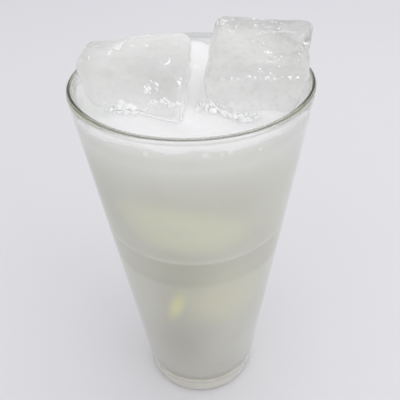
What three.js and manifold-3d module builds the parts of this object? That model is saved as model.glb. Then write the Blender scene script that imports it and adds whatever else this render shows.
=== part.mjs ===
// A tall tapered drinking glass, filled to just under its rim with a pale cloudy drink that is cut round
// two melted ice blocks. Millimetres, +Z up, origin at the centre of the foot on the surface it stands on.
import * as THREE from "three";
import { mergeVertices } from "three/addons/utils/BufferGeometryUtils.js";
import Module from "manifold-3d";

const wasm = await Module();
wasm.setup();

// The glass
const HEIGHT = 158;
const RIM_RADIUS = 42;
const FOOT_RADIUS = 26.7;
const WALL = 2.4;
const FLOOR = 5.5;
const HEEL_RADIUS = 2.4;
const FLOOR_CORNER = 5;
const PUSH_UP = 1.2;
const PUSH_UP_RADIUS = 20;
// The push-up's shoulder, as shares of its radius and of its height
const PUSH_UP_SHOULDER = [0.6, 0.8];

// The stacking ring, a ridge inside the wall with a crisp ledge on top that fades out downwards
const RING_TOP = 102.5;
const RING_FOOT = 90;
const RING_DEPTH = 1.1;
const RING_LEDGE = 0.8;

// The drink and its foam
const LEVEL = 152;
const GAP = 0.3;
const ICE_GAP = 0.4;
const MENISCUS = 0.45;
const MENISCUS_REACH = 1.6;
const FOAM_WAVE = 0.3;
const FOAM_BANK = 1.3;
const FOAM_BANK_REACH = 2.6;

// The meniscus rises and falls in three waves round the wall, by half its height
const MENISCUS_WAVES = { height: MENISCUS / 2, count: 3, phase: 0.6 };

// Where the foam stands higher or lower on the wall, at an angle round it and fading over a reach, in degrees
const CONTACT_LIFTS = [
  { angle: -115, height: 1.4, reach: 14 },
  { angle: -101, height: -0.7, reach: 7 },
  { angle: -83, height: 1, reach: 10 },
];

// Heaps of foam in front of each block, on the left of the ice and behind it
const FOAM_HEAPS = [
  { place: [6, -14], height: 2.4, reach: 6 },
  { place: [-22.5, -14.5], height: 2.8, reach: 4.5 },
  { place: [-36.5, -1.5], height: 4.2, reach: 7.5 },
  { place: [2, 39], height: 3.4, reach: 9 },
];

// How finely round shapes are cut up
const TURN_STEPS = 64;
const CORNER_STEPS = 4;
const LIP_STEPS = 6;
const RING_STEPS = 4;
const TOP_RINGS = 13;
const ICE_STEPS = 10;
const BUBBLE_SIDES = 8;
const BUBBLE_RINGS = 6;

// Points closer than this are one point
const TOUCH = 1e-3;

// Each ice block has four corners on its underside and four on top, in the order front left, front right,
// back right, back left. Its edges are melted to a radius of `melt` times half its width.
const ICE_LEFT = {
  bottom: [[-29.5, -16, 138], [-3.5, -19.5, 138], [0, 16, 138], [-31.5, 11, 138]],
  top: [[-37.6, -4.6, 166], [-2.2, -21.8, 166], [1.2, 20.8, 166.4], [-38.4, 18.2, 166.6]],
  melt: 0.22,
  wobble: 0.45,
  phase: 0.4,
  hollow: { u: -0.8, v: 0.75, reach: 0.6, depth: 1.6 },
};
const ICE_RIGHT = {
  bottom: [[6, -7, 138.5], [27.5, -22, 138.5], [33.5, 9.5, 146], [8.7, 15.5, 146.5]],
  top: [[3.2, -17.8, 165.2], [36.2, -19.2, 165.2], [41.4, 5.8, 173.6], [9.2, 10.6, 175.6]],
  melt: 0.2,
  wobble: 0.4,
  phase: 2.1,
  hollow: { u: 0.5, v: 0.15, reach: 0.42, depth: 2.4 },
};

// Melting leaves slow and quick waves on a block, and hollows fade in near its top
const SLOW_WAVE = { share: 0.7, u: 2.3, v: 2.9, w: 1.7 };
const QUICK_WAVE = { share: 0.3, u: 4.3, v: 5.1, w: 3.7 };
const HOLLOW_FADE = [0.6, 0.95];

// Foam bubbles lie in two drifts, along the foot of each block's front side
const BUBBLE_DRIFTS = [
  { from: [-27.5, -13], to: [-18.5, -16.5], count: 11 },
  { from: [1.5, -15], to: [20, -20.3], count: 17 },
];
const BUBBLE_RADIUS = [0.7, 1.5];
const BUBBLE_SPREAD = [0.64, 1.6];
// How deep a bubble's centre lies under the foam, as a share of its radius
const BUBBLE_SINK = 0.2;

// Outside radius of the glass at a height
function outerRadius(z) {
  return FOOT_RADIUS + ((RIM_RADIUS - FOOT_RADIUS) * z) / HEIGHT;
}

// How far the stacking ring stands in from the wall at a height
function ringDepth(z) {
  if (z > RING_TOP) {
    return RING_DEPTH * (1 - THREE.MathUtils.smoothstep(z, RING_TOP, RING_TOP + RING_LEDGE));
  }
  return RING_DEPTH * THREE.MathUtils.smoothstep(z, RING_FOOT, RING_TOP);
}

// Inside radius of the glass at a height
function innerRadius(z) {
  return outerRadius(z) - WALL - ringDepth(z);
}

// Points on an arc, both ends included, angles in degrees
function arc(x, y, radius, from, to, steps) {
  const points = [];
  for (let i = 0; i <= steps; i += 1) {
    const angle = THREE.MathUtils.degToRad(from + ((to - from) * i) / steps);
    points.push(new THREE.Vector2(x + radius * Math.cos(angle), y + radius * Math.sin(angle)));
  }
  return points;
}

// Heights at which the inner wall is cut, from the floor's corner up to the drink's level or the lip
function wallHeights(from, to) {
  const ring = [RING_FOOT];
  for (let i = 1; i <= RING_STEPS; i += 1) {
    ring.push(RING_FOOT + ((RING_TOP - RING_FOOT) * i) / RING_STEPS);
  }
  ring.push(RING_TOP + RING_LEDGE / 2, RING_TOP + RING_LEDGE);
  return [from, ...ring, to];
}

// The wall from the floor's rounded corner upwards, drawn in from the glass by a gap
function innerSide(floor, top, gap) {
  const cornerTop = floor + FLOOR_CORNER;
  const centre = innerRadius(cornerTop) - gap - FLOOR_CORNER;
  const corner = arc(centre, cornerTop, FLOOR_CORNER, -90, 0, CORNER_STEPS);
  const side = wallHeights(cornerTop, top).map((z) => new THREE.Vector2(innerRadius(z) - gap, z));
  return [...corner, ...side.slice(1)];
}

// A profile turned round the upright axis, bottom first, so that its faces point outwards
function turned(profile) {
  return new THREE.LatheGeometry(profile, TURN_STEPS).rotateX(Math.PI / 2);
}

// One closed mesh as a solid that can be joined and cut
function solidOf(geometry) {
  const bare = geometry.clone();
  bare.deleteAttribute("normal");
  bare.deleteAttribute("uv");
  const merged = mergeVertices(bare, TOUCH);
  const vertProperties = new Float32Array(merged.attributes.position.array);
  const triVerts = new Uint32Array(merged.index.array);
  return new wasm.Manifold(new wasm.Mesh({ numProp: 3, vertProperties, triVerts }));
}

// A solid back as a geometry
function geometryOf(solid) {
  const mesh = solid.getMesh();
  return new THREE.BufferGeometry()
    .setAttribute("position", new THREE.BufferAttribute(mesh.vertProperties, 3))
    .setIndex(new THREE.BufferAttribute(mesh.triVerts, 1));
}

// The glass: pushed-up underside, rounded heel, straight tapered side, rounded lip, ringed inside, floor
function glassGeometry() {
  const lip = WALL / 2;
  const lipHeight = HEIGHT - lip;
  const lipCentre = outerRadius(lipHeight) - lip;
  const heelCentre = outerRadius(HEEL_RADIUS) - HEEL_RADIUS;
  const inside = innerSide(FLOOR, lipHeight, 0).reverse();
  const [shoulderRadius, shoulderHeight] = PUSH_UP_SHOULDER;
  const profile = [
    new THREE.Vector2(0, PUSH_UP),
    new THREE.Vector2(PUSH_UP_RADIUS * shoulderRadius, PUSH_UP * shoulderHeight),
    new THREE.Vector2(PUSH_UP_RADIUS, 0),
    ...arc(heelCentre, HEEL_RADIUS, HEEL_RADIUS, -90, 0, CORNER_STEPS),
    ...arc(lipCentre, lipHeight, lip, 0, 180, LIP_STEPS),
    ...inside.slice(1),
    new THREE.Vector2(0, FLOOR),
  ];
  return turned(profile);
}

// A block's point for u, v and w from -1 to 1, left to right, front to back and bottom to top
function blockPoint(block, u, v, w) {
  const point = new THREE.Vector3();
  const across = [(1 - u) * (1 - v), (1 + u) * (1 - v), (1 + u) * (1 + v), (1 - u) * (1 + v)];
  across.forEach((share, i) => {
    point.addScaledVector(new THREE.Vector3(...block.bottom[i]), (share * (1 - w)) / 8);
    point.addScaledVector(new THREE.Vector3(...block.top[i]), (share * (1 + w)) / 8);
  });
  return point;
}

// How far melting has moved a block's surface outwards at u, v, w
function meltRelief(block, u, v, w) {
  const { hollow, phase, wobble } = block;
  const slow =
    Math.sin(SLOW_WAVE.u * u + phase) * Math.cos(SLOW_WAVE.v * v - SLOW_WAVE.w * w + phase);
  const quick =
    Math.sin(QUICK_WAVE.v * v + 2 * phase) * Math.cos(QUICK_WAVE.u * u + QUICK_WAVE.w * w - phase);
  const waves = SLOW_WAVE.share * slow + QUICK_WAVE.share * quick;
  const away = Math.hypot(u - hollow.u, v - hollow.v) / hollow.reach;
  const dip = hollow.depth * Math.exp(-(away ** 4)) * THREE.MathUtils.smoothstep(w, ...HOLLOW_FADE);
  return wobble * waves - dip;
}

// A melted ice block, drawn out all round by `grow`
function iceGeometry(block, grow) {
  const box = new THREE.BoxGeometry(2, 2, 2, ICE_STEPS, ICE_STEPS, ICE_STEPS);
  box.deleteAttribute("normal");
  box.deleteAttribute("uv");
  const geometry = mergeVertices(box, TOUCH);
  const place = geometry.attributes.position;
  const flat = 1 - block.melt;
  const relief = [];
  for (let i = 0; i < place.count; i += 1) {
    const cube = new THREE.Vector3().fromBufferAttribute(place, i);
    const core = cube.clone().clampScalar(-flat, flat);
    const round = cube.clone().sub(core).normalize().multiplyScalar(block.melt).add(core);
    relief.push(meltRelief(block, round.x, round.y, round.z) + grow);
    place.setXYZ(i, ...blockPoint(block, round.x, round.y, round.z));
  }
  geometry.computeVertexNormals();
  const outwards = geometry.attributes.normal;
  relief.forEach((step, i) => {
    const moved = new THREE.Vector3().fromBufferAttribute(place, i);
    moved.addScaledVector(new THREE.Vector3().fromBufferAttribute(outwards, i), step);
    place.setXYZ(i, ...moved);
  });
  geometry.computeVertexNormals();
  return geometry;
}

// A block's outline where it leaves the drink, as four corners
function footprint(block) {
  return block.bottom.map((low, i) => {
    const high = block.top[i];
    const share = (LEVEL - low[2]) / (high[2] - low[2]);
    return new THREE.Vector2(low[0], low[1]).lerp(new THREE.Vector2(high[0], high[1]), share);
  });
}

// Distance from a point to the nearest side of an outline
function distanceTo(outline, point) {
  const distances = outline.map((from, i) => {
    const along = outline[(i + 1) % outline.length].clone().sub(from);
    const share = point.clone().sub(from).dot(along) / along.lengthSq();
    const nearest = from.clone().addScaledVector(along, THREE.MathUtils.clamp(share, 0, 1));
    return nearest.distanceTo(point);
  });
  return Math.min(...distances);
}

// How far the foam climbs the wall at an angle round it
function wallClimb(angle) {
  const { height, count, phase } = MENISCUS_WAVES;
  let climb = MENISCUS + height * Math.sin(count * angle + phase);
  for (const lift of CONTACT_LIFTS) {
    const turn = THREE.MathUtils.radToDeg(angle) - lift.angle;
    const away = THREE.MathUtils.euclideanModulo(turn + 180, 360) - 180;
    climb += lift.height * Math.exp(-((away / lift.reach) ** 2));
  }
  return climb;
}

// How high the heaps of foam stand at a place
function heapHeight(point) {
  let height = 0;
  for (const heap of FOAM_HEAPS) {
    const away = point.distanceTo(new THREE.Vector2(...heap.place)) / heap.reach;
    height += heap.height * Math.exp(-(away ** 2));
  }
  return height;
}

// Height of the foam: slow waves, heaps, a meniscus that climbs the wall, and a bank against each ice block
function foamHeight(x, y) {
  const point = new THREE.Vector2(x, y);
  const climb = wallClimb(Math.atan2(y, x));
  const toWall = innerRadius(LEVEL) - GAP - point.length();
  const waves = FOAM_WAVE * (Math.sin(0.31 * x + 0.8) + Math.sin(0.27 * y + 0.22 * x));
  const toIce = Math.min(...[ICE_LEFT, ICE_RIGHT].map((block) => distanceTo(footprint(block), point)));
  const bank = FOAM_BANK * Math.exp(-((toIce / FOAM_BANK_REACH) ** 2));
  return LEVEL + waves + heapHeight(point) + bank + climb * Math.exp(-toWall / MENISCUS_REACH);
}

// The bare drink: the inside of the glass less a gap, its top raised into foam
function drinkGeometry() {
  const floor = FLOOR + GAP;
  const side = innerSide(floor, LEVEL, GAP);
  const edge = side[side.length - 1].x;
  const profile = [new THREE.Vector2(0, floor), ...side];
  for (let ring = TOP_RINGS - 1; ring >= 0; ring -= 1) {
    profile.push(new THREE.Vector2((edge * ring) / TOP_RINGS, LEVEL));
  }
  const geometry = turned(profile);
  const place = geometry.attributes.position;
  for (let i = 0; i < place.count; i += 1) {
    if (place.getZ(i) > LEVEL - TOUCH) {
      const height = foamHeight(place.getX(i), place.getY(i));
      const widen = (innerRadius(height) - GAP) / edge;
      place.setXYZ(i, place.getX(i) * widen, place.getY(i) * widen, height);
    }
  }
  return geometry;
}

// A repeatable share from 0 to 1 for a whole number
function scatter(seed) {
  const wave = Math.sin(seed * 12.9898) * 43758.5453;
  return wave - Math.floor(wave);
}

// The bubbles of one drift of foam, each half sunk in the surface
function bubbleGeometries(drift, first) {
  const bubbles = [];
  for (let i = 0; i < drift.count; i += 1) {
    const seed = first + 4 * i;
    const share = (i + scatter(seed)) / drift.count;
    const aside = 2 * scatter(seed + 1) - 1;
    const x = THREE.MathUtils.lerp(drift.from[0], drift.to[0], share) + BUBBLE_SPREAD[0] * aside;
    const y = THREE.MathUtils.lerp(drift.from[1], drift.to[1], share) + BUBBLE_SPREAD[1] * aside;
    const radius = THREE.MathUtils.lerp(...BUBBLE_RADIUS, scatter(seed + 2) ** 2);
    const bubble = new THREE.SphereGeometry(radius, BUBBLE_SIDES, BUBBLE_RINGS);
    bubble.rotateZ(scatter(seed + 3) * Math.PI);
    bubbles.push(bubble.translate(x, y, foamHeight(x, y) - BUBBLE_SINK * radius));
  }
  return bubbles;
}

// The drink with its bubbles, cut round the ice
function lassiGeometry() {
  let solid = solidOf(drinkGeometry());
  BUBBLE_DRIFTS.forEach((drift, index) => {
    for (const bubble of bubbleGeometries(drift, 100 * (index + 1))) {
      solid = solid.add(solidOf(bubble));
    }
  });
  for (const block of [ICE_LEFT, ICE_RIGHT]) {
    solid = solid.subtract(solidOf(iceGeometry(block, ICE_GAP)));
  }
  return geometryOf(solid);
}

// A named mesh with its own plain material
function piece(name, geometry, color, roughness, opacity) {
  const material = new THREE.MeshStandardMaterial({ color, roughness, metalness: 0 });
  material.transparent = opacity < 1;
  material.opacity = opacity;
  const mesh = new THREE.Mesh(geometry, material);
  mesh.name = name;
  return mesh;
}

const glassOfLassi = new THREE.Group();
glassOfLassi.add(
  piece("glass", glassGeometry(), 0xdfe5df, 0.03, 0.3),
  piece("lassi", lassiGeometry(), 0xe6e6de, 0.5, 1),
  piece("ice_left", iceGeometry(ICE_LEFT, 0), 0xeaf0f0, 0.15, 0.6),
  piece("ice_right", iceGeometry(ICE_RIGHT, 0), 0xeaf0f0, 0.15, 0.6),
);

export default glassOfLassi;
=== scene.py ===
"""Dresses a glass of lassi: clear ringed glass, cloudy drink, sunk lemon slices, foam and melting ice."""
import math
import random

import bmesh
import bpy
import numpy as np
from mathutils import Matrix, Vector, noise
from mathutils.bvhtree import BVHTree


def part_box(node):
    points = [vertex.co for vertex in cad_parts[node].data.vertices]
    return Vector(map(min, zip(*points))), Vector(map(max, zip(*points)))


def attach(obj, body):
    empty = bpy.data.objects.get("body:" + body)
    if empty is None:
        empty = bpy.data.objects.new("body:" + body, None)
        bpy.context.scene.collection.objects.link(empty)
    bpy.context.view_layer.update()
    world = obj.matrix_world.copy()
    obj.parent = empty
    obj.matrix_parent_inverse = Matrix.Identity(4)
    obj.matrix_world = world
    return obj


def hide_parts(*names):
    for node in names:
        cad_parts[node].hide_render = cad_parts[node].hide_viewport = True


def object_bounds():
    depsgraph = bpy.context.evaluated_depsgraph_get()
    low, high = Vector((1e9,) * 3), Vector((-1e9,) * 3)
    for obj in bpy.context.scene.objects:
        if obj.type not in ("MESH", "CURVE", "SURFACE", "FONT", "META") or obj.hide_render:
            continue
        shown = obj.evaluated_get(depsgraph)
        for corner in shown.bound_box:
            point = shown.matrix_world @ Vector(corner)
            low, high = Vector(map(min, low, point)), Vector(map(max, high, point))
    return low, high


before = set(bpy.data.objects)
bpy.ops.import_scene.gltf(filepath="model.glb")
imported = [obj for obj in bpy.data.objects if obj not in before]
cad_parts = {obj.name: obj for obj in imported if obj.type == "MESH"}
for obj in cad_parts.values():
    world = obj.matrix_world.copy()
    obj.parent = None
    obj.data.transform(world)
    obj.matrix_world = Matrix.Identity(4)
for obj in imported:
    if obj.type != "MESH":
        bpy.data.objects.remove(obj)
CAD_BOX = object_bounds()

# Shapes are worked out in millimetres and made in metres
MM = 0.001
GLASS_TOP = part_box("glass")[1]
HEIGHT = GLASS_TOP.z / MM
TALLEST = CAD_BOX[1].z / MM
LIP_RADIUS = GLASS_TOP.x / MM

# The glass
FOOT_RADIUS = 26.7
WALL = 2.4
FLOOR = 5.5
FLOOR_CORNER = 5.0
FLOOR_DISC = 10.0
HEEL_RADIUS = 2.4
PUSH_UP = 1.2
PUSH_UP_RADIUS = 20.0
PUSH_UP_POWER = 4
PUSH_UP_SHARES = (0.3, 0.6, 0.8, 0.9, 1.0)
LIP = WALL / 2
LIP_HEIGHT = HEIGHT - LIP
LIP_CENTRE = LIP_RADIUS - LIP
RIM_TO_FOOT = LIP_RADIUS - FOOT_RADIUS
GLASS_LOOK = {"Roughness": 0.0, "IOR": 1.5, "Transmission Weight": 1.0}

# Painted shade on the lip, across it from its middle outwards, in front and at the sides
LIP_PAINTED_SHADE = {"front": (0.45, 0.85), "side": (-0.45, 0.95)}
LIP_PAINTED_SHADE_POWER = 4
# Painted light and shade on the lip: it is nearly clear at the back and grey in front
LIP_LIGHT_AND_SHADE_SPOTS = [
    {"centre": (0, 60, HEIGHT), "reach": (90, 70, 40), "core": 0.7, "color": (0.95, 0.96, 0.93)},
    {"centre": (0, -50, HEIGHT), "reach": (48, 34, 30), "core": 0.5, "color": (0.19, 0.19, 0.18)},
]
# A faint line of painted shade runs round the glass where the lip begins
CLEAR = (1.0, 1.0, 1.0)
LIP_SHADE_LINE = (0.62, 0.62, 0.59)
GLASS_SHADE_TONES = [
    (LIP_HEIGHT - 0.5, CLEAR),
    (LIP_HEIGHT - 0.3, LIP_SHADE_LINE),
    (LIP_HEIGHT, LIP_SHADE_LINE),
    (LIP_HEIGHT + 0.2, CLEAR),
]
# The thick glass at the foot, made milky and pale as painted light: its lowest and highest point, and how
# clear it is at some heights
FOOT_BAND = (0.8, 13.0)
FOOT_CLEARNESS = [
    (8.0, (0.48, 0.48, 0.48)),
    (10.0, (0.70, 0.70, 0.70)),
    (13.0, (0.97, 0.97, 0.97)),
]

# The stacking ring inside the wall
RING_TOP = 102.5
RING_FOOT = 90.0
RING_DEPTH = 1.1
RING_LEDGE = 0.8

# The drink reaches a little into the wall and into the ice, so that no film of air shows
LEVEL = 152.0
INTO_WALL = 0.12
INTO_ICE = 0.15
# The meniscus rises and falls in three waves round the wall, by half its height
MENISCUS = 0.45
MENISCUS_REACH = 1.6
MENISCUS_WAVES = {"height": MENISCUS / 2, "count": 3, "phase": 0.6}
# Where the foam stands higher or lower on the wall, at an angle and over a reach in degrees
CONTACT_LIFTS = [
    {"angle": -115, "height": 1.4, "reach": 14},
    {"angle": -101, "height": -0.7, "reach": 7},
    {"angle": -83, "height": 1.0, "reach": 10},
]
# Heaps of foam in front of each block, on the left of the ice and behind it
FOAM_HEAPS = [
    {"place": (6, -14), "height": 2.4, "reach": 6},
    {"place": (-22.5, -14.5), "height": 2.8, "reach": 4.5},
    {"place": (-36.5, -1.5), "height": 4.2, "reach": 7.5},
    {"place": (2, 39), "height": 3.4, "reach": 9},
]
FOAM_WAVE = 0.3
FOAM_WAVES = [
    {"x": 0.31, "y": 0.0, "phase": 0.8},
    {"x": 0.22, "y": 0.27, "phase": 0.0},
]
FOAM_BANK = 1.3
FOAM_BANK_REACH = 2.6
FOAM_GRAIN = {"size": 1.6, "depth": 0.12}
# What faces up and lies no deeper than this under the level is foam
FOAM_DEPTH = 2.5
FOAM_FACING = 0.03
# The pockets that hold the ice lie above this height and this far in from the wall
POCKET_FOOT = 130.0
POCKET_INSET = 0.5
# The darkest and lightest white of the foam on top and in the pockets
FOAM_WHITES = {"white_foam": (0.965, 0.995), "foam_under_ice": (0.975, 0.995)}
GREY_FOAM_PATCH = {"centre": (-34, -12, 153), "reach": (12, 12, 8), "core": 0.2, "color": (0.80, 0.81, 0.795)}

# Ice blocks, with corners front left, front right, back right and back left, below and on top
ICE_LEFT = {
    "bottom": [(-29.5, -16, 138), (-3.5, -19.5, 138), (0, 16, 138), (-31.5, 11, 138)],
    "top": [(-37.6, -4.6, 166), (-2.2, -21.8, 166), (1.2, 20.8, 166.4), (-38.4, 18.2, 166.6)],
    "melt": 0.22, "wobble": 0.45, "phase": 0.4,
    "hollow": {"u": -0.8, "v": 0.75, "reach": 0.6, "depth": 1.6},
    "dimple": {"place": (-26.3, -9, 164.5), "reach": 4.5, "depth": 0.6},
    "crumble": 0.16, "grain": 0.95,
}
ICE_RIGHT = {
    "bottom": [(6, -7, 138.5), (27.5, -22, 138.5), (33.5, 9.5, 146), (8.7, 15.5, 146.5)],
    "top": [(3.2, -17.8, 165.2), (36.2, -19.2, 165.2), (41.4, 5.8, 173.6), (9.2, 10.6, 175.6)],
    "melt": 0.2, "wobble": 0.4, "phase": 2.1,
    "hollow": {"u": 0.5, "v": 0.15, "reach": 0.42, "depth": 2.4},
    "dimple": {"place": (25.5, -9.6, 168.2), "reach": 3.6, "depth": 0.9},
    "crumble": 0.32, "grain": 0.91,
}
# Melting leaves slow and quick waves on a block, and hollows fade in near its top
SLOW_WAVE = {"share": 0.7, "u": 2.3, "v": 2.9, "w": 1.7}
QUICK_WAVE = {"share": 0.3, "u": 4.3, "v": 5.1, "w": 3.7}
HOLLOW_FADE = (0.6, 0.95)
# A dimple turns from dent to raised edge at this distance squared, counted in reaches, and then fades out
DIMPLE_EDGE = 0.6
DIMPLE_FADE = 1.5
# Crumbled ice has bumps of two sizes
CRUMBLE_BUMPS = [{"size": 4.0, "depth": 1.0}, {"size": 1.5, "depth": 0.4}]

# The drink's colour by height in millimetres, with painted light and shade: painted shade in the stacking
# ring and low in the glass, a painted highlight along the ring's ledge, painted light near the floor of the
# glass and high up, and darker just under the foam
LASSI_TONES_WITH_PAINTED_LIGHT_AND_SHADE = [
    (5.5, (0.90, 0.89, 0.84)),
    (10, (0.96, 0.95, 0.90)),
    (13, (0.94, 0.93, 0.88)),
    (18, (0.87, 0.86, 0.81)),
    (25, (0.80, 0.79, 0.745)),
    (45, (0.79, 0.78, 0.735)),
    (70, (0.83, 0.825, 0.77)),
    (87, (0.84, 0.835, 0.775)),
    (90.5, (0.76, 0.75, 0.69)),
    (95, (0.785, 0.775, 0.72)),
    (101.5, (0.775, 0.765, 0.71)),
    (102.4, (0.93, 0.92, 0.865)),
    (103.4, (0.93, 0.92, 0.865)),
    (105, (0.83, 0.825, 0.765)),
    (122, (0.83, 0.83, 0.77)),
    (133, (0.835, 0.835, 0.78)),
    (140, (0.855, 0.855, 0.805)),
    (146, (0.87, 0.87, 0.83)),
    (148.5, (0.80, 0.80, 0.76)),
    (150, (0.76, 0.76, 0.72)),
    (152, (0.76, 0.76, 0.72)),
]
# Light goes deep into the drink, except close to the floor of the glass
LASSI_DEPTH = [
    (12, (0, 0, 0)),
    (24, (1, 1, 1)),
]
# Painted shade in the drink: the middle, low on the left, under the foam and along the left edge
LASSI_PAINTED_SHADES = [
    {"centre": (-5, -30, 72), "reach": (19, 22, 60), "core": 0.2, "color": (0.885, 0.88, 0.87)},
    {"centre": (-12, -26, 42), "reach": (20, 17, 32), "core": 0.1, "color": (0.92, 0.915, 0.92)},
    {"centre": (0, -36, 132), "reach": (34, 24, 17), "core": 0.3, "color": (0.945, 0.945, 0.935)},
    {"centre": (-50, 0, 138), "reach": (35, 70, 62), "core": 0.4, "color": (0.79, 0.80, 0.78)},
]
# The slices glow through the cloudy drink next to the wall, some turned by an angle in degrees
LEMON_GLOWS = [
    {"centre": (-5, -33, 120), "reach": (29, 18, 14), "core": 0.2, "turn": (0, 10, 0),
     "color": (0.975, 0.965, 0.77)},
    {"centre": (9, -27, 78), "reach": (23, 20, 23), "core": 0.1, "color": (0.87, 0.86, 0.725)},
    {"centre": (-8.8, -30, 75), "reach": (4.4, 9, 16), "core": 0.0, "turn": (0, 14, 0),
     "color": (0.93, 0.92, 0.62)},
]
# Painted light: the drink is paler low on the right, where light comes in from the floor
FLOOR_PAINTED_LIGHT = {"centre": (30, -4, 26), "reach": (26, 40, 42), "core": 0.1, "color": (0.925, 0.917, 0.876)}
# Pale bubbles in the drink behind the wall: angle in degrees, height and radius in millimetres
WALL_BUBBLES = [
    (-110, 151.8, 1.1), (-85.4, 152.0, 1.3), (-78.6, 151.5, 0.8), (-75, 151.8, 1.0), (-61, 150.2, 0.9),
]
WALL_BUBBLE_LOOK = {"core": 0.5, "color": (0.905, 0.905, 0.875)}
UNTURNED = (0, 0, 0)

# The ice's colour by height, with painted light and shade: whiter near the foam and darker on top
ICE_TONES_WITH_PAINTED_LIGHT_AND_SHADE = [
    (150, (1.0, 0.999, 0.99)),
    (161, (0.993, 0.992, 0.975)),
    (166, (0.975, 0.973, 0.955)),
    (169, (0.86, 0.858, 0.84)),
    (173, (0.795, 0.793, 0.775)),
]
ICE_CLEARNESS = [
    (151, (0.20, 0.20, 0.20)),
    (155, (0.40, 0.40, 0.40)),
    (159, (0.66, 0.66, 0.66)),
    (163, (0.92, 0.92, 0.92)),
]
# Painted shade and grey patches in the ice: painted shade in the hollow on the right and along its far edge,
# and greyer patches on the left
ICE_SHADE_AND_GREY_SPOTS = [
    {"centre": (31, -0.5, 169), "reach": (8, 6, 5), "core": 0.2, "color": (0.98, 0.98, 0.98)},
    {"centre": (33, 5.5, 173.3), "reach": (7, 3, 2), "core": 0.2, "color": (0.80, 0.80, 0.80)},
    {"centre": (-26.5, -10.5, 163.7), "reach": (6, 5, 2.5), "core": 0.1, "color": (0.86, 0.88, 0.86)},
    {"centre": (-16.2, -3.6, 166), "reach": (5, 3.5, 2), "core": 0.1, "color": (0.92, 0.94, 0.92)},
]

# The photograph's camera, in millimetres, degrees and pixels of a square frame
CAMERA_PLACE = (0.0, -149.5, 225.0)
CAMERA_PITCH = 39.15
CAMERA_YAW = 0.664
CAMERA_ROLL = -1.791
FOCAL_PIXELS = 466.8
FRAME_PIXELS = 400
SENSOR_WIDTH = 36.0
# The nearest distance that the camera shows, in metres
CLIP_START = 0.01

# Drifts of bubbles in front of the ice, in millimetres
BUBBLE_DRIFTS = [
    {"from": (-27.5, -13), "to": (-18.5, -16.5), "count": 11},
    {"from": (1.5, -15), "to": (20, -20.3), "count": 17},
]
BUBBLE_RADIUS = (0.7, 1.5)
BUBBLE_SPREAD = (0.64, 1.6)
BEADS_PER_DRIFT = 120
BEAD_RADIUS = (0.25, 0.65)
BEAD_SPREAD = (0.6, 1.3)
# How deep a ball's centre lies under the foam, as a share of its radius
BUBBLE_SINK = 0.2
BEAD_SINK = 0.55
# Rings and sides of a ball for large bubbles and for small beads, and the angle where its caps begin
BUBBLE_STEPS = (8, 14)
BEAD_STEPS = (5, 10)
BALL_CAP = 75

# White drops on the ice where it glints, partly drops and partly painted highlights: pixel and radius in
# millimetres
ICE_GLINT_SPECKS = [
    (109.5, 53, 0.7), (107.5, 54, 0.5), (112, 51.5, 0.45), (116, 48, 0.7), (118.5, 47, 0.8), (121, 46, 0.6),
    (90, 58, 0.6), (146.4, 45.2, 0.6), (159, 45.2, 0.35), (147.2, 89.4, 1.0), (149.5, 87.5, 0.7),
    (146, 91.5, 0.6), (156.7, 84.2, 0.6), (147.2, 84.6, 0.5), (156.3, 90.2, 0.5), (179.5, 83.4, 0.65),
    (181, 78.6, 0.4), (179, 88.6, 0.45), (105.3, 103.4, 0.7),
    (253.8, 18, 0.75), (255, 25.8, 0.45), (279, 28, 0.4), (268, 52.7, 0.8), (271, 53, 0.5), (265, 51.5, 0.5),
    (281.6, 56.4, 0.5), (304.8, 44, 0.45), (260, 68, 0.55), (258, 71.4, 0.35), (262, 71.4, 0.35),
    (267, 77.6, 0.6), (270.8, 73, 0.35), (289.9, 77.8, 0.6), (297.8, 77.2, 0.5), (237.7, 79.2, 0.4),
]
# Each speck is broken up into smaller ones, with sizes as shares of its own
SPECK_PARTS = 4
SPECK_SPREAD = 2.4
SPECK_SIZES = (0.35, 0.7)
# Frost on the ice: middle and spread of each patch in pixels
ICE_FROST = [
    {"pixel": (224, 24), "spread": (6, 4), "count": 44},
    {"pixel": (262, 36), "spread": (9, 5), "count": 14},
    {"pixel": (278, 62), "spread": (9, 4), "count": 14},
    {"pixel": (262, 78), "spread": (18, 1.5), "count": 14},
    {"pixel": (118, 46), "spread": (8, 3.5), "count": 16},
    {"pixel": (150, 88), "spread": (6, 4.5), "count": 12},
    {"pixel": (130, 36), "spread": (22, 1.5), "count": 14},
    {"pixel": (303, 46), "spread": (4, 8), "count": 18},
    {"pixel": (280, 21), "spread": (14, 2), "count": 14},
]
FROST_RADIUS = (0.12, 0.36)
# Painted highlights along lines on the ice, as strings of white drops: corners as pixels, radius in
# millimetres, stray in pixels
ICE_HIGHLIGHT_LINES = [
    {"pixels": [(139.6, 113.3), (152.4, 116.2), (161, 118.8), (176.3, 121.6)],
     "count": 70, "radius": 0.3, "stray": 0.2},
    {"pixels": [(181.1, 112), (181.5, 119.7)],
     "count": 16, "radius": 0.3, "stray": 0.2},
    {"pixels": [(142.8, 109.7), (149.2, 107), (155.5, 101), (162.3, 99.8), (166.7, 102.2), (172.3, 105.4),
                (178.7, 104.2)],
     "count": 46, "radius": 0.36, "stray": 2.2},
    {"pixels": [(263, 32), (280, 31.6), (299, 32.4)],
     "count": 44, "radius": 0.15, "stray": 0.7},
    {"pixels": [(264.6, 27), (273, 27)],
     "count": 14, "radius": 0.14, "stray": 0.7},
]
LINE_SIZES = (0.6, 1.4)
# A painted highlight round an open bubble on the ice, as white drops: pixel, reach in pixels, radius of its
# ring in millimetres, side that shines
ICE_RING_HIGHLIGHT = {"pixel": (164.7, 59.5), "reach": 5.2, "radius": 0.42, "bright": 0.9}
RING_DROPS = 28
RING_SWELL = (0.2, 1.0)

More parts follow.
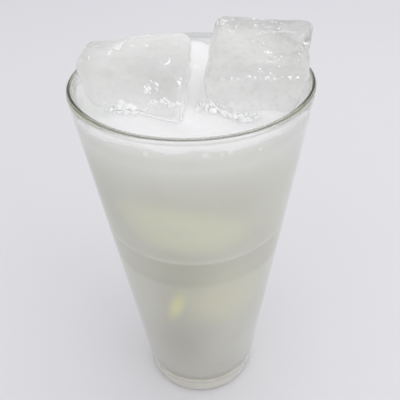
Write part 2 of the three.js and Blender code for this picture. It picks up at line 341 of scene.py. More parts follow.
# Each thing that is scattered has a stretch of seeds to itself
SEEDS_PER_DRIFT = 100
SEEDS_PER_BUBBLE = 4
SEEDS_PER_SPECK = 3
SEEDS_PER_DROP = 7
FROTH_SEED = 11

# Sunk slices, tilted from lying flat and then turned round, in degrees
SLICES = [
    {"name": "lemon_slice_upper", "place": (-3.0, -11.0, 118.0), "tilt": -12, "turn": 0,
     "radius": 21.0, "thickness": 5.0},
    {"name": "lemon_slice_lower", "place": (5.0, -13.5, 77.0), "tilt": 90, "turn": 40,
     "radius": 15.0, "thickness": 4.5},
]
# Sunken flesh from the middle outwards, as shares of a slice's radius and of half its thickness
SLICE_FLESH = [(0, 0.8), (0.5, 0.82), (0.86, 0.86)]

# A film of air between the foot and the floor
FLOOR_GAP = 0.15
# The floor's size in metres, and the place under the glass where light is painted on it
GROUND_SIZE = 6.0
UNDER_GLASS_PAINTED_LIGHT = {"centre": (0, 0, 0), "reach": (FOOT_RADIUS, FOOT_RADIUS, FOOT_RADIUS), "core": 0.9,
               "color": (0.97, 0.96, 0.90)}

# Lights, in metres and watts
LIGHTS = [
    {"name": "overhead", "place": (0.25, 0.2, 0.9), "aim": (0, 0, 0.1), "size": 1.0, "power": 1.2},
    {"name": "fill_left", "place": (-0.75, -0.7, 0.35), "aim": (0, 0, 0.09), "size": 0.8, "power": 0.9},
    {"name": "fill_right", "place": (0.8, -0.6, 0.4), "aim": (0, 0, 0.09), "size": 0.8, "power": 2.2},
]
SKY_COLOR = (0.98, 0.98, 1.0, 1)
SKY_STRENGTH = 0.88
LIGHT_BOUNCES = 24

# How finely shapes are cut up
TURN_STEPS = 160
CORNER_STEPS = 10
LIP_STEPS = 32
INSIDE_ROWS = (20, 14, 7, 24)
FOOT_ROWS = 8
OUTSIDE_ROWS = 40
TOP_RINGS = 90
ICE_STEPS = 64
SLICE_STEPS = 64


def between(ends, share):
    low, high = ends
    return low + (high - low) * share


def outer_radius(z):
    return FOOT_RADIUS + RIM_TO_FOOT * z / LIP_HEIGHT


def smoothstep(x, low, high):
    t = np.clip((x - low) / (high - low), 0, 1)
    return t * t * (3 - 2 * t)


def ring_depth(z):
    above = 1 - smoothstep(z, RING_TOP, RING_TOP + RING_LEDGE)
    below = smoothstep(z, RING_FOOT, RING_TOP)
    return RING_DEPTH * np.where(z > RING_TOP, above, below)


def inner_radius(z):
    return outer_radius(z) - WALL - ring_depth(z)


def arc(x, y, radius, start, end, steps):
    """Points on an arc, both ends included, angles in degrees."""
    angles = np.radians(np.linspace(start, end, steps + 1))
    return [(x + radius * math.cos(a), y + radius * math.sin(a)) for a in angles]


def inner_side(floor, top, outwards):
    """The inside of the glass from the floor's rounded corner up, moved outwards a little."""
    corner_top = floor + FLOOR_CORNER
    centre = inner_radius(corner_top) + outwards - FLOOR_CORNER
    marks = [corner_top, RING_FOOT, RING_TOP, RING_TOP + RING_LEDGE, top]
    heights = []
    for low, high, rows in zip(marks, marks[1:], INSIDE_ROWS):
        heights += list(np.linspace(low, high, rows)[1:])
    side = [(float(inner_radius(z)) + outwards, z) for z in heights]
    return arc(centre, corner_top, FLOOR_CORNER, -90, 0, CORNER_STEPS) + side


def dressed(name, mesh, material):
    """A smooth object made from a mesh, which rides with the glass."""
    mesh.polygons.foreach_set("use_smooth", [True] * len(mesh.polygons))
    mesh.materials.append(material)
    piece = bpy.data.objects.new(name, mesh)
    bpy.context.scene.collection.objects.link(piece)
    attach(piece, "root")
    return piece


def new_piece(name, points, faces, material):
    """An object from points in millimetres that rides with the glass."""
    mesh = bpy.data.meshes.new(name)
    mesh.from_pydata((np.asarray(points, float) * MM).tolist(), [], faces)
    mesh.update()
    return dressed(name, mesh, material)


def turned(profile, steps):
    """Points and faces of a profile turned round Z. It starts and ends on the axis."""
    rings = np.asarray(profile[1:-1], float)
    angles = np.linspace(0, 2 * math.pi, steps, endpoint=False)
    x = rings[:, :1] * np.cos(angles)
    y = rings[:, :1] * np.sin(angles)
    z = np.repeat(rings[:, 1:], steps, axis=1)
    points = np.stack([x, y, z], axis=-1).reshape(-1, 3)
    first = len(points)
    points = np.vstack([points, [(0, 0, profile[0][1]), (0, 0, profile[-1][1])]])
    faces = []
    for ring in range(len(rings) - 1):
        for k in range(steps):
            a = ring * steps + k
            b = ring * steps + (k + 1) % steps
            faces.append((a, b, b + steps, a + steps))
    last = (len(rings) - 1) * steps
    for k in range(steps):
        after = (k + 1) % steps
        faces.append((first, after, k))
        faces.append((first + 1, last + k, last + after))
    return points, faces


def new_material(name, values):
    """A material with plain values on its shader's own sockets."""
    material = bpy.data.materials.new(name)
    material.use_nodes = True
    for socket, value in values.items():
        shader_of(material).inputs[socket].default_value = value
    return material


def shader_of(material):
    return material.node_tree.nodes["Principled BSDF"]


def add_node(material, kind, values=None, **settings):
    """A node with its settings and plain input values."""
    node = material.node_tree.nodes.new(kind)
    for key, value in settings.items():
        setattr(node, key, value)
    for socket, value in (values or {}).items():
        node.inputs[socket].default_value = value
    return node


def link(material, source, target):
    material.node_tree.links.new(source, target)


def feed(material, socket, source):
    """Links a source to a socket of the material's shader."""
    link(material, source, shader_of(material).inputs[socket])


def object_noise(material, scale, detail):
    """Noise that stays fixed to the object."""
    place = add_node(material, "ShaderNodeTexCoord")
    grain = add_node(material, "ShaderNodeTexNoise", {"Scale": scale, "Detail": detail, "Roughness": 0.5})
    link(material, place.outputs["Object"], grain.inputs["Vector"])
    return grain.outputs["Fac"]


def noise_tint(material, scale, detail, low, high):
    """Noise that runs from one colour to another."""
    tint = add_node(material, "ShaderNodeValToRGB")
    for stop, color in zip(tint.color_ramp.elements, (low, high)):
        stop.color = (*color, 1)
    link(material, object_noise(material, scale, detail), tint.inputs["Fac"])
    return tint.outputs["Color"]


def noise_range(material, scale, low, high):
    """Soft noise that runs from one value to another."""
    spread = add_node(material, "ShaderNodeMapRange",
                      {"From Min": 0.35, "From Max": 0.65, "To Min": low, "To Max": high})
    link(material, object_noise(material, scale, detail=2.0), spread.inputs["Value"])
    return spread.outputs["Result"]


def patches(material, scale, low, high):
    """A field of soft patches: 0 where noise is under low and 1 where it is over high."""
    field = add_node(material, "ShaderNodeMapRange", {"From Min": low, "From Max": high})
    link(material, object_noise(material, scale, detail=3.0), field.inputs["Value"])
    return field.outputs["Result"]


def add_bump(material, height, strength, distance):
    bump = add_node(material, "ShaderNodeBump", {"Strength": strength, "Distance": distance})
    link(material, height, bump.inputs["Height"])
    feed(material, "Normal", bump.outputs["Normal"])


def soft_spot(material, centre, reach, core, turn):
    """A field that is 1 in the core of an egg-shaped place and fades to 0 at its reach, in millimetres."""
    place = add_node(material, "ShaderNodeTexCoord")
    away = add_node(material, "ShaderNodeMapping", {
        "Location": Vector(centre) * MM, "Scale": Vector(reach) * MM,
        "Rotation": [math.radians(a) for a in turn],
    }, vector_type="TEXTURE")
    distance = add_node(material, "ShaderNodeVectorMath", operation="LENGTH")
    fade = add_node(material, "ShaderNodeMapRange", {"From Min": 1.0, "From Max": core},
                    interpolation_type="SMOOTHSTEP")
    link(material, place.outputs["Object"], away.inputs["Vector"])
    link(material, away.outputs["Vector"], distance.inputs[0])
    link(material, distance.outputs["Value"], fade.inputs["Value"])
    return fade.outputs["Result"]


def tone_by_height(material, tones):
    """Colours that change with height, from pairs of a height in millimetres and a colour."""
    place = add_node(material, "ShaderNodeTexCoord")
    axes = add_node(material, "ShaderNodeSeparateXYZ")
    share = add_node(material, "ShaderNodeMapRange", {"From Max": TALLEST * MM})
    ramp = add_node(material, "ShaderNodeValToRGB")
    stops = ramp.color_ramp.elements
    while len(stops) < len(tones):
        stops.new(0.5)
    for stop, (height, color) in zip(stops, tones):
        stop.position = height / TALLEST
        stop.color = (*color, 1)
    link(material, place.outputs["Object"], axes.inputs["Vector"])
    link(material, axes.outputs["Z"], share.inputs["Value"])
    link(material, share.outputs["Result"], ramp.inputs["Fac"])
    return ramp.outputs["Color"]


def mixed(material, below, field, color, blend="MIX"):
    """A colour laid over another where a field is high."""
    mix = add_node(material, "ShaderNodeMixRGB", {"Color2": (*color, 1)}, blend_type=blend)
    link(material, below, mix.inputs["Color1"])
    link(material, field, mix.inputs["Fac"])
    return mix.outputs["Color"]


def with_spots(material, color, spots, blend="MIX"):
    """A colour with other colours laid over it in soft places."""
    for spot in spots:
        field = soft_spot(material, spot["centre"], spot["reach"], spot["core"], spot.get("turn", UNTURNED))
        color = mixed(material, color, field, spot["color"], blend)
    return color


def glass_material():
    material = new_material("clear_glass", GLASS_LOOK)
    # Painted shade: a faint grey line round the glass where the lip begins
    feed(material, "Base Color", tone_by_height(material, GLASS_SHADE_TONES))
    depth = add_node(material, "ShaderNodeVolumeAbsorption",
                     {"Color": (0.70, 0.75, 0.50, 1), "Density": 11.0})
    output = material.node_tree.nodes["Material Output"]
    link(material, depth.outputs["Volume"], output.inputs["Volume"])
    streaks = object_noise(material, scale=60.0, detail=1.0)
    add_bump(material, streaks, strength=0.02, distance=0.001)
    return material


def lip_material():
    """The glass of the lip, painted dark olive: painted shade for the dark that the lip refracts, and the
    tint of light crossing it lengthwise.
    """
    material = new_material("lip_glass", GLASS_LOOK)
    color = noise_tint(material, 90.0, 2.0, (0.20, 0.21, 0.11), (0.32, 0.33, 0.20))
    feed(material, "Base Color", with_spots(material, color, LIP_LIGHT_AND_SHADE_SPOTS))
    return material


def foot_material():
    """The thick glass round the floor, made milky and pale as painted light for the light that it gathers."""
    material = new_material("foot_glass", {"Roughness": 0.05, "IOR": 1.5})
    feed(material, "Transmission Weight", tone_by_height(material, FOOT_CLEARNESS))
    # Painted light: a pale warm tint in the milky foot
    color = noise_tint(material, 90.0, 2.0, (0.93, 0.90, 0.81), (0.97, 0.945, 0.87))
    feed(material, "Base Color", color)
    return material


def wall_bubble_spots():
    """Soft places for the pale bubbles behind the wall."""
    spots = []
    for angle, height, radius in WALL_BUBBLES:
        turn = math.radians(angle)
        away = inner_radius(height) + INTO_WALL
        centre = (away * math.cos(turn), away * math.sin(turn), height)
        spots.append({"centre": centre, "reach": (radius, radius, radius), **WALL_BUBBLE_LOOK})
    return spots


def lassi_material():
    material = new_material("cloudy_lassi", {
        "Roughness": 0.6, "IOR": 1.08,
        "Subsurface Radius": (1.0, 1.0, 0.9), "Subsurface Scale": 0.06,
    })
    feed(material, "Subsurface Weight", tone_by_height(material, LASSI_DEPTH))
    # Painted light and shade by height
    color = tone_by_height(material, LASSI_TONES_WITH_PAINTED_LIGHT_AND_SHADE)
    cloud = object_noise(material, scale=45.0, detail=4.0)
    color = mixed(material, color, cloud, (0.975, 0.975, 0.965), "MULTIPLY")
    color = with_spots(material, color, LASSI_PAINTED_SHADES, "MULTIPLY")
    # The sunk slices' glow, painted light from the floor, and pale bubbles behind the wall
    color = with_spots(material, color, LEMON_GLOWS + [FLOOR_PAINTED_LIGHT] + wall_bubble_spots())
    feed(material, "Base Color", color)
    return material


def foam_material(name, low, high):
    """White foam, a little greyer in a patch at the left of the ice."""
    material = new_material(name, {
        "Roughness": 0.35,
        "Subsurface Weight": 1.0, "Subsurface Radius": (1.0, 1.0, 1.0), "Subsurface Scale": 0.003,
    })
    color = noise_tint(material, 140.0, 3.0, (low, low, low), (high, high, high))
    feed(material, "Base Color", with_spots(material, color, [GREY_FOAM_PATCH]))
    grain = object_noise(material, scale=900.0, detail=3.0)
    add_bump(material, grain, strength=0.3, distance=0.0004)
    return material


def bubble_material():
    """The thin clear skin of the large bubbles."""
    material = new_material("foam_bubble", {
        "Base Color": (0.99, 0.99, 0.99, 1), "Roughness": 0.05, "IOR": 1.15,
    })
    feed(material, "Transmission Weight", noise_range(material, 500.0, 0.0, 0.2))
    return material


def bead_material():
    """Wet white beads of foam and frozen-in air, also used for white drops that stand in as painted
    highlights on the ice.
    """
    material = new_material("foam_bead", {
        "Roughness": 0.2, "Coat Weight": 0.5, "Coat Roughness": 0.03,
    })
    feed(material, "Base Color", noise_tint(material, 700.0, 2.0, (0.97, 0.97, 0.97), (0.99, 0.99, 0.99)))
    return material


def ice_material(name, grain):
    """Half cloudy ice with soft patches and a fine grain of a given greyness."""
    material = new_material(name, {
        "Roughness": 0.35, "IOR": 1.2, "Coat Weight": 0.5, "Coat Roughness": 0.04, "Coat IOR": 1.31,
    })
    clear = add_node(material, "ShaderNodeMath", operation="MULTIPLY")
    link(material, noise_range(material, 60.0, 0.82, 0.98), clear.inputs[0])
    link(material, tone_by_height(material, ICE_CLEARNESS), clear.inputs[1])
    feed(material, "Transmission Weight", clear.outputs["Value"])
    color = tone_by_height(material, ICE_TONES_WITH_PAINTED_LIGHT_AND_SHADE)
    color = mixed(material, color, patches(material, 130.0, 0.5, 0.75), (0.94, 0.942, 0.935), "MULTIPLY")
    color = mixed(material, color, patches(material, 600.0, 0.48, 0.66), (grain, grain, grain), "MULTIPLY")
    feed(material, "Base Color", with_spots(material, color, ICE_SHADE_AND_GREY_SPOTS, "MULTIPLY"))
    ripple = object_noise(material, scale=450.0, detail=3.0)
    add_bump(material, ripple, strength=0.15, distance=0.0006)
    return material


def lemon_material():
    material = new_material("lemon_flesh", {
        "Roughness": 0.4, "Subsurface Weight": 0.6,
        "Subsurface Radius": (1.0, 0.9, 0.4), "Subsurface Scale": 0.003,
    })
    feed(material, "Base Color", noise_tint(material, 350.0, 3.0, (0.90, 0.88, 0.30), (0.97, 0.95, 0.50)))
    return material


def glass_profile():
    """The outline of the glass from the middle of its underside, over the lip, to the middle of its floor."""
    heel_centre = outer_radius(HEEL_RADIUS) - HEEL_RADIUS
    foot_top = FOOT_BAND[1]
    heights = list(np.linspace(HEEL_RADIUS, foot_top, FOOT_ROWS)[1:])
    heights += list(np.linspace(foot_top, LIP_HEIGHT, OUTSIDE_ROWS)[1:-1])
    profile = [(0, PUSH_UP)]
    profile += [(PUSH_UP_RADIUS * t, PUSH_UP * (1 - t ** PUSH_UP_POWER)) for t in PUSH_UP_SHARES]
    profile += arc(heel_centre, HEEL_RADIUS, HEEL_RADIUS, -90, 0, CORNER_STEPS)
    profile += [(outer_radius(z), z) for z in heights]
    profile += arc(LIP_CENTRE, LIP_HEIGHT, LIP, 0, 180, LIP_STEPS)
    profile += inner_side(FLOOR, LIP_HEIGHT, 0.0)[::-1][1:]
    return profile + [(FLOOR_DISC, FLOOR), (0, FLOOR)]


def lip_painted_shade(sideways):
    """Where the lip's painted shade begins and ends, for a place from 0 in front to 1 at a side."""
    return [between(ends, sideways ** LIP_PAINTED_SHADE_POWER) for ends in zip(LIP_PAINTED_SHADE["front"], LIP_PAINTED_SHADE["side"])]


def paint_glass(glass):
    """Gives the lip's painted shade and the thick foot's painted light their own glass."""
    for face in glass.data.polygons:
        x, y, z = (value / MM for value in face.center)
        away = math.hypot(x, y)
        across = away - LIP_CENTRE
        shade_from, shade_to = lip_painted_shade(abs(x) / away)
        on_lip = z > LIP_HEIGHT and shade_from < across < shade_to
        on_foot = FOOT_BAND[0] < z < FOOT_BAND[1] and across > -RIM_TO_FOOT
        face.material_index = 1 if on_lip else 2 * int(on_foot)


def make_glass():
    points, faces = turned(glass_profile(), TURN_STEPS)
    glass = new_piece("glass_shell", points, faces, glass_material())
    glass.data.materials.append(lip_material())
    glass.data.materials.append(foot_material())
    paint_glass(glass)
    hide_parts("glass")


def block_points(block, uvw):
    """Places on a block for u, v and w from -1 to 1: left to right, front to back, bottom to top."""
    u, v, w = uvw.T
    shares = [(1 - u) * (1 - v), (1 + u) * (1 - v), (1 + u) * (1 + v), (1 - u) * (1 + v)]
    points = np.zeros_like(uvw)
    for share, low, high in zip(shares, block["bottom"], block["top"]):
        points += np.outer(share * (1 - w) / 8, low) + np.outer(share * (1 + w) / 8, high)
    return points


def melt_relief(block, uvw):
    """How far melting has moved a block's surface outwards."""
    u, v, w = uvw.T
    phase = block["phase"]
    slow = np.sin(SLOW_WAVE["u"] * u + phase)
    slow *= np.cos(SLOW_WAVE["v"] * v - SLOW_WAVE["w"] * w + phase)
    quick = np.sin(QUICK_WAVE["v"] * v + 2 * phase)
    quick *= np.cos(QUICK_WAVE["u"] * u + QUICK_WAVE["w"] * w - phase)
    hollow = block["hollow"]
    away = np.hypot(u - hollow["u"], v - hollow["v"]) / hollow["reach"]
    dip = hollow["depth"] * np.exp(-away ** 4) * smoothstep(w, *HOLLOW_FADE)
    return block["wobble"] * (SLOW_WAVE["share"] * slow + QUICK_WAVE["share"] * quick) - dip


def fine_relief(points, size, depth):
    """Small uneven bumps of a size, in millimetres."""
    return depth * np.array([noise.noise(Vector(p) / size) for p in points])


def dimple_relief(dimple, points):
    """A shallow round dent with a raised edge."""
    away = np.linalg.norm(points - dimple["place"], axis=1) / dimple["reach"]
    return dimple["depth"] * (away ** 2 - DIMPLE_EDGE) * np.exp(-away ** 2 * DIMPLE_FADE)


def vertex_values(mesh, key):
    """The places or the normals of a mesh's points, as rows of three."""
    values = np.empty(len(mesh.vertices) * 3)
    mesh.vertices.foreach_get(key, values)
    return values.reshape(-1, 3)


def set_points(mesh, points):
    mesh.vertices.foreach_set("co", (points * MM).ravel())
    mesh.update()


def cube_grid(steps):
    """A mesh of a cube from -1 to 1 with its sides cut into a grid."""
    grid = bmesh.new()
    bmesh.ops.create_cube(grid, size=2)
    bmesh.ops.subdivide_edges(grid, edges=grid.edges[:], cuts=steps - 1, use_grid_fill=True)
    mesh = bpy.data.meshes.new("ice")
    grid.to_mesh(mesh)
    grid.free()
    return mesh


def make_ice(name, node, block):
    mesh = cube_grid(ICE_STEPS)
    cube = vertex_values(mesh, "co")
    core = np.clip(cube, block["melt"] - 1, 1 - block["melt"])
    out = cube - core
    uvw = core + block["melt"] * out / np.linalg.norm(out, axis=1, keepdims=True)
    points = block_points(block, uvw)
    set_points(mesh, points)
    relief = melt_relief(block, uvw) + dimple_relief(block["dimple"], points)
    for bumps in CRUMBLE_BUMPS:
        relief += block["crumble"] * fine_relief(points, **bumps)
    set_points(mesh, points + vertex_values(mesh, "normal") * relief[:, None])
    piece = dressed(name, mesh, ice_material(name, block["grain"]))
    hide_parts(node)
    return piece


def footprint(block):
    """A block's outline where it leaves the drink."""
    corners = []
    for low, high in zip(block["bottom"], block["top"]):
        share = (LEVEL - low[2]) / (high[2] - low[2])
        corners.append(np.array(low[:2]) * (1 - share) + np.array(high[:2]) * share)
    return corners


def distance_to(outline, places):
    """Distance from each place to the nearest side of an outline."""
    nearest = np.full(len(places), np.inf)
    for start, end in zip(outline, outline[1:] + outline[:1]):
        along = end - start
        share = np.clip((places - start) @ along / (along @ along), 0, 1)
        gap = places - start - share[:, None] * along
        nearest = np.minimum(nearest, np.hypot(*gap.T))
    return nearest


def wall_climb(angle):
    """How high the foam climbs the wall at an angle round it."""
    waves = MENISCUS_WAVES
    climb = MENISCUS + waves["height"] * np.sin(waves["count"] * angle + waves["phase"])
    for lift in CONTACT_LIFTS:
        away = (np.degrees(angle) - lift["angle"] + 180) % 360 - 180
        climb += lift["height"] * np.exp(-(away / lift["reach"]) ** 2)
    return climb


def foam_height(places):
    """Height of the foam: waves, heaps, a meniscus on the wall and a bank against the ice."""
    x, y = places.T
    waves = FOAM_WAVE * sum(np.sin(wave["x"] * x + wave["y"] * y + wave["phase"]) for wave in FOAM_WAVES)
    heaps = 0
    for heap in FOAM_HEAPS:
        away = np.hypot(x - heap["place"][0], y - heap["place"][1]) / heap["reach"]
        heaps = heaps + heap["height"] * np.exp(-away ** 2)
    to_ice = np.minimum(distance_to(footprint(ICE_LEFT), places), distance_to(footprint(ICE_RIGHT), places))
    bank = FOAM_BANK * np.exp(-(to_ice / FOAM_BANK_REACH) ** 2)
    to_wall = np.maximum(inner_radius(LEVEL) - np.hypot(x, y), 0)
    meniscus = wall_climb(np.arctan2(y, x)) * np.exp(-to_wall / MENISCUS_REACH)
    return LEVEL + waves + heaps + bank + meniscus


def shrunk_copy(piece, step):
    """A cutter of a piece's shape, drawn in all round."""
    mesh = piece.data.copy()
    set_points(mesh, vertex_values(mesh, "co") / MM - vertex_values(mesh, "normal") * step)
    cutter = bpy.data.objects.new("cutter", mesh)
    bpy.context.scene.collection.objects.link(cutter)
    return cutter


def cut(piece, cutter):
    modifier = piece.modifiers.new("cut", "BOOLEAN")
    modifier.operation = "DIFFERENCE"
    modifier.solver = "MANIFOLD"
    modifier.object = cutter
    bpy.context.view_layer.objects.active = piece
    with bpy.context.temp_override(object=piece, active_object=piece):
        bpy.ops.object.modifier_apply(modifier=modifier.name)
    bpy.data.objects.remove(cutter)


def drink_shape():
    """Points and faces of the drink with its foam, before the ice is cut out."""
    floor = FLOOR - INTO_WALL
    side = inner_side(floor, LEVEL, INTO_WALL)
    edge = side[-1][0]
    top = [(edge * t, LEVEL) for t in np.linspace(1, 0, TOP_RINGS)[1:-1]]
    profile = [(0, floor), (FLOOR_DISC, floor)] + side + top + [(0, LEVEL)]
    points, faces = turned(profile, TURN_STEPS)
    foam = np.isclose(points[:, 2], LEVEL)
    points[foam, 2] = foam_height(points[foam, :2])
    points[foam, 2] += fine_relief(points[foam], **FOAM_GRAIN)
    points[foam, :2] *= ((inner_radius(points[foam, 2]) + INTO_WALL) / edge)[:, None]
    return points, faces


def paint_drink(drink):
    """Gives the top of the drink and the pockets that hold the ice their own foam."""
    for face in drink.data.polygons:
        x, y, z = (value / MM for value in face.center)
        on_top = z > LEVEL - FOAM_DEPTH and face.normal.z > FOAM_FACING
        in_pocket = z > POCKET_FOOT and math.hypot(x, y) < inner_radius(z) - POCKET_INSET
        face.material_index = 1 if on_top else 2 * int(in_pocket)


def make_drink(blocks):
    points, faces = drink_shape()
    drink = new_piece("lassi_drink", points, faces, lassi_material())
    for name, (low, high) in FOAM_WHITES.items():
        drink.data.materials.append(foam_material(name, low, high))
    for block in blocks:
        cut(drink, shrunk_copy(block, INTO_ICE))
    paint_drink(drink)
    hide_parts("lassi")
    return drink


def scatter(seed):
    """A repeatable spread of numbers from 0 to 1."""
    wave = math.sin(seed * 12.9898) * 43758.5453
    return wave - math.floor(wave)


def sway(seed):
    """A repeatable spread of numbers from -1 to 1."""
    return 2 * scatter(seed) - 1


def bubble_cluster(name, bubbles, steps, material):
    """One piece of many round bubbles, each with a centre and a radius in millimetres."""
    rings, sides = steps
    ball, ball_faces = turned([(0, -1)] + arc(0, 0, 1, -BALL_CAP, BALL_CAP, rings) + [(0, 1)], sides)
    points = np.vstack([np.asarray(centre) + radius * ball for centre, radius in bubbles])
    faces = []
    for first in range(0, len(points), len(ball)):
        faces += [tuple(first + corner for corner in face) for face in ball_faces]
    return new_piece(name, points, faces, material)


def foam_ball(drift, share, aside, radius, sink):
    """A ball's centre and radius, at a share of the way along a drift and a little aside of it."""
    x, y = (between(ends, share) + step for ends, step in zip(zip(drift["from"], drift["to"]), aside))
    height = float(foam_height(np.array([[x, y]]))[0])
    return (x, y, height - sink * radius), radius


def drift_bubbles(drift, first):
    """The large bubbles of one drift of foam, each about half sunk in the surface."""
    bubbles = []
    for i in range(drift["count"]):
        seed = first + SEEDS_PER_BUBBLE * i
        share = (i + scatter(seed)) / drift["count"]
        aside = [spread * sway(seed + 1) for spread in BUBBLE_SPREAD]
        radius = between(BUBBLE_RADIUS, scatter(seed + 2) ** 2)
        bubbles.append(foam_ball(drift, share, aside, radius, BUBBLE_SINK))
    return bubbles


def drift_beads(drift, draw):
    """Small beads of foam round a drift."""
    beads = []
    for _ in range(BEADS_PER_DRIFT):
        share = draw.random()
        aside = [draw.gauss(0, spread) for spread in BEAD_SPREAD]
        radius = draw.uniform(*BEAD_RADIUS)
        beads.append(foam_ball(drift, share, aside, radius, BEAD_SINK))
    return beads


def tree_of(pieces):
    """The surfaces of some pieces, for finding what a pixel shows."""
    points = []
    faces = []
    for piece in pieces:
        first = len(points)
        points += [vertex.co.copy() for vertex in piece.data.vertices]
        faces += [[first + k for k in face.vertices] for face in piece.data.polygons]
    return BVHTree.FromPolygons(points, faces)


def seen_at(tree, pixel):
    """The place, in millimetres, that the photograph shows at a pixel."""
    camera = bpy.context.scene.camera.matrix_world
    middle = FRAME_PIXELS / 2
    ray = Vector((pixel[0] - middle, middle - pixel[1], -FOCAL_PIXELS))
    place = tree.ray_cast(camera.translation, camera.to_3x3() @ ray.normalized())[0]
    return None if place is None else place / MM


def drops_at(tree, specks):
    """Small white drops where the photograph shows bright specks, from pixels and radii: frost flecks, and
    painted highlights where the ice glints.
    """
    drops = []
    for x, y, radius in specks:
        place = seen_at(tree, (x, y))
        if place is not None:
            drops.append((place, radius))
    return drops


def broken_up(specks):
    """Each speck as a few smaller ones close together."""
    parts = []
    for index, (x, y, radius) in enumerate(specks):
        for k in range(SPECK_PARTS):
            seed = SEEDS_PER_SPECK * (SPECK_PARTS * index + k)
            across = SPECK_SPREAD * radius * sway(seed + 1)
            down = SPECK_SPREAD * radius * sway(seed + 2)
            parts.append((x + across, y + down, radius * between(SPECK_SIZES, scatter(seed + 3))))
    return parts


def frost_specks(draw):
    """Fine white flecks strewn over patches of the ice."""
    specks = []
    for patch in ICE_FROST:
        for _ in range(patch["count"]):
            x = draw.gauss(patch["pixel"][0], patch["spread"][0])
            y = draw.gauss(patch["pixel"][1], patch["spread"][1])
            specks.append((x, y, draw.uniform(*FROST_RADIUS)))
    return specks


def line_specks(line):
    """A string of specks along a line of pixels, for a painted highlight."""
    corners = np.array(line["pixels"], float)
    steps = range(len(corners))
    specks = []
    for k, place in enumerate(np.linspace(0, len(corners) - 1, line["count"])):
        seed = SEEDS_PER_DROP * k
        x = np.interp(place, steps, corners[:, 0]) + line["stray"] * sway(seed + 1)
        y = np.interp(place, steps, corners[:, 1]) + line["stray"] * sway(seed + 2)
        specks.append((x, y, line["radius"] * between(LINE_SIZES, scatter(seed + 3))))
    return specks


def ring_specks(ring):
    """A string of specks round an open bubble, a painted highlight that is largest on its shining side."""
    x, y = ring["pixel"]
    reach = ring["reach"]
    specks = []
    for angle in np.linspace(0, 2 * math.pi, RING_DROPS, endpoint=False):
        facing = max(math.cos(angle - ring["bright"]), 0)
        radius = ring["radius"] * between(RING_SWELL, facing ** 2)
        specks.append((x + reach * math.cos(angle), y + reach * math.sin(angle), radius))
    return specks


def make_bubbles(drink, blocks):
    draw = random.Random(FROTH_SEED)
    large = []
    beads = []
    for index, drift in enumerate(BUBBLE_DRIFTS):
        large += drift_bubbles(drift, SEEDS_PER_DRIFT * (index + 1))
        beads += drift_beads(drift, draw)
    bubble_cluster("foam_bubbles", large, BUBBLE_STEPS, bubble_material())
    tree = tree_of(blocks + [drink])
    # White drops on the ice: painted highlights, frost flecks, highlight lines and the highlight round the
    # open bubble
    drops = drops_at(tree, broken_up(ICE_GLINT_SPECKS)) + drops_at(tree_of(blocks), frost_specks(draw))
    for line in ICE_HIGHLIGHT_LINES:
        drops += drops_at(tree, line_specks(line))
    drops += drops_at(tree, ring_specks(ICE_RING_HIGHLIGHT))
    bead_and_glint_white = bead_material()
    bubble_cluster("foam_beads", beads, BEAD_STEPS, bead_and_glint_white)
    bubble_cluster("ice_drops_and_glints", drops, BEAD_STEPS, bead_and_glint_white)


def make_slice(name, place, tilt, turn, radius, thickness, material):
    """A round slice with a rounded rim and slightly sunken flesh."""
    half = thickness / 2
    flesh = [(radius * out, half * up) for out, up in SLICE_FLESH]
    profile = [(out, -up) for out, up in flesh]
    profile += arc(radius - half, 0, half, -90, 90, CORNER_STEPS)
    profile += flesh[::-1]
    points, faces = turned(profile, SLICE_STEPS)
    pose = Matrix.Rotation(math.radians(turn), 3, "Z") @ Matrix.Rotation(math.radians(tilt), 3, "X")
    points = points @ np.array(pose).T + np.array(place)
    new_piece(name, points, faces, material)


def make_slices():
    material = lemon_material()
    for lemon_slice in SLICES:
        make_slice(**lemon_slice, material=material)


def floor_material():
    """A plain pale floor with painted light under the foot of the glass."""
    material = new_material("floor", {"Roughness": 0.6})
    color = noise_tint(material, 3.0, 2.0, (0.72, 0.72, 0.745), (0.74, 0.74, 0.765))
    feed(material, "Base Color", with_spots(material, color, [UNDER_GLASS_PAINTED_LIGHT]))
    return material


def make_floor():
    bpy.ops.mesh.primitive_plane_add(size=GROUND_SIZE)
    floor = bpy.context.object
    floor.name = "floor"
    floor.location.z = -FLOOR_GAP * MM
    floor.data.materials.append(floor_material())


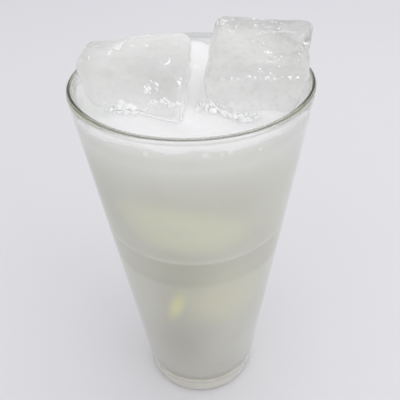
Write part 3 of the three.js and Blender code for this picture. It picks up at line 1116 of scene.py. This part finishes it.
def add_light(name, place, aim, size, power):
    light = bpy.data.lights.new(name, "AREA")
    light.shape = "DISK"
    light.size = size
    light.energy = power
    lamp = bpy.data.objects.new(name, light)
    lamp.location = place
    lamp.rotation_euler = (Vector(aim) - Vector(place)).to_track_quat("-Z", "Y").to_euler()
    bpy.context.scene.collection.objects.link(lamp)


def light_scene():
    scene = bpy.context.scene
    world = bpy.data.worlds.new("studio")
    scene.world = world
    world.use_nodes = True
    sky = world.node_tree.nodes["Background"]
    sky.inputs["Color"].default_value = SKY_COLOR
    sky.inputs["Strength"].default_value = SKY_STRENGTH
    for light in LIGHTS:
        add_light(**light)
    scene.view_settings.view_transform = "Standard"
    scene.cycles.max_bounces = LIGHT_BOUNCES
    scene.cycles.diffuse_bounces = LIGHT_BOUNCES
    scene.cycles.transmission_bounces = LIGHT_BOUNCES


def make_camera():
    pitch, yaw, roll = (math.radians(a) for a in (CAMERA_PITCH, CAMERA_YAW, CAMERA_ROLL))
    forward = Vector((math.sin(yaw) * math.cos(pitch), math.cos(yaw) * math.cos(pitch), -math.sin(pitch)))
    level_right = forward.cross(Vector((0, 0, 1))).normalized()
    level_up = level_right.cross(forward)
    right = level_right * math.cos(roll) + level_up * math.sin(roll)
    up = level_up * math.cos(roll) - level_right * math.sin(roll)
    lens = bpy.data.cameras.new("camera")
    lens.sensor_width = SENSOR_WIDTH
    lens.lens = FOCAL_PIXELS * SENSOR_WIDTH / FRAME_PIXELS
    lens.clip_start = CLIP_START
    camera = bpy.data.objects.new("camera", lens)
    turn = Matrix((right, up, -forward)).transposed().to_4x4()
    camera.matrix_world = Matrix.Translation(Vector(CAMERA_PLACE) * MM) @ turn
    bpy.context.scene.collection.objects.link(camera)
    bpy.context.scene.camera = camera


make_camera()
light_scene()
make_floor()
make_glass()
blocks = [
    make_ice("ice_block_left", "ice_left", ICE_LEFT),
    make_ice("ice_block_right", "ice_right", ICE_RIGHT),
]
drink = make_drink(blocks)
make_bubbles(drink, blocks)
make_slices()
